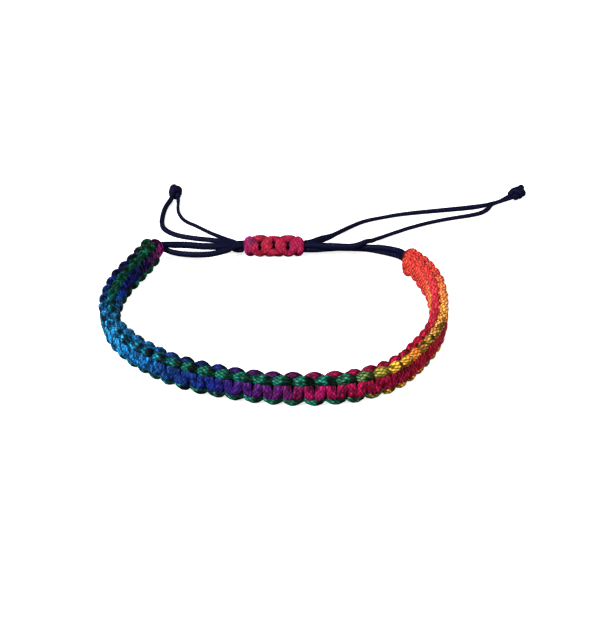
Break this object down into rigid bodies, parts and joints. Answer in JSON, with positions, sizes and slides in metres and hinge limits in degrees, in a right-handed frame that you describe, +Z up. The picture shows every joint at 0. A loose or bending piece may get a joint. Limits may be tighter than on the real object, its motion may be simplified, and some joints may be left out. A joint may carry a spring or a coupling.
{
  "type": "friendship bracelet",
  "caption": "Open ring of multicoloured square knots on two dark core cords, closed by a sliding knot, with loose tail cords that end in stopper knots.",
  "frame": {"origin": "middle of the ring in plan, on the surface that the lower edge of the band rests on", "axes": "+Z up through the ring; +X to the right across the ring, from the cool-coloured side to the red side; +Y back from the band's front to the sliding closure"},
  "size_m": [0.0939, 0.0982, 0.0063],
  "materials": {
    "rainbow_cord": "matt braided polyester cord, dyed in a running rainbow",
    "crimson_cord": "matt braided polyester cord, crimson with a pink and purple stretch",
    "navy_cord": "matt fine braided cord, dark navy"
  },
  "bodies": {
    "root": {"knotted_band": "rainbow_cord", "core_cord_upper": "navy_cord", "core_cord_lower": "navy_cord", "closure_knot": "crimson_cord", "tail_left_outer": "navy_cord", "tail_left_inner": "navy_cord", "tail_right_outer": "navy_cord", "tail_right_inner": "navy_cord", "stopper_knot_left": "navy_cord", "stopper_knot_right": "navy_cord"}
  },
  "joints": []
}
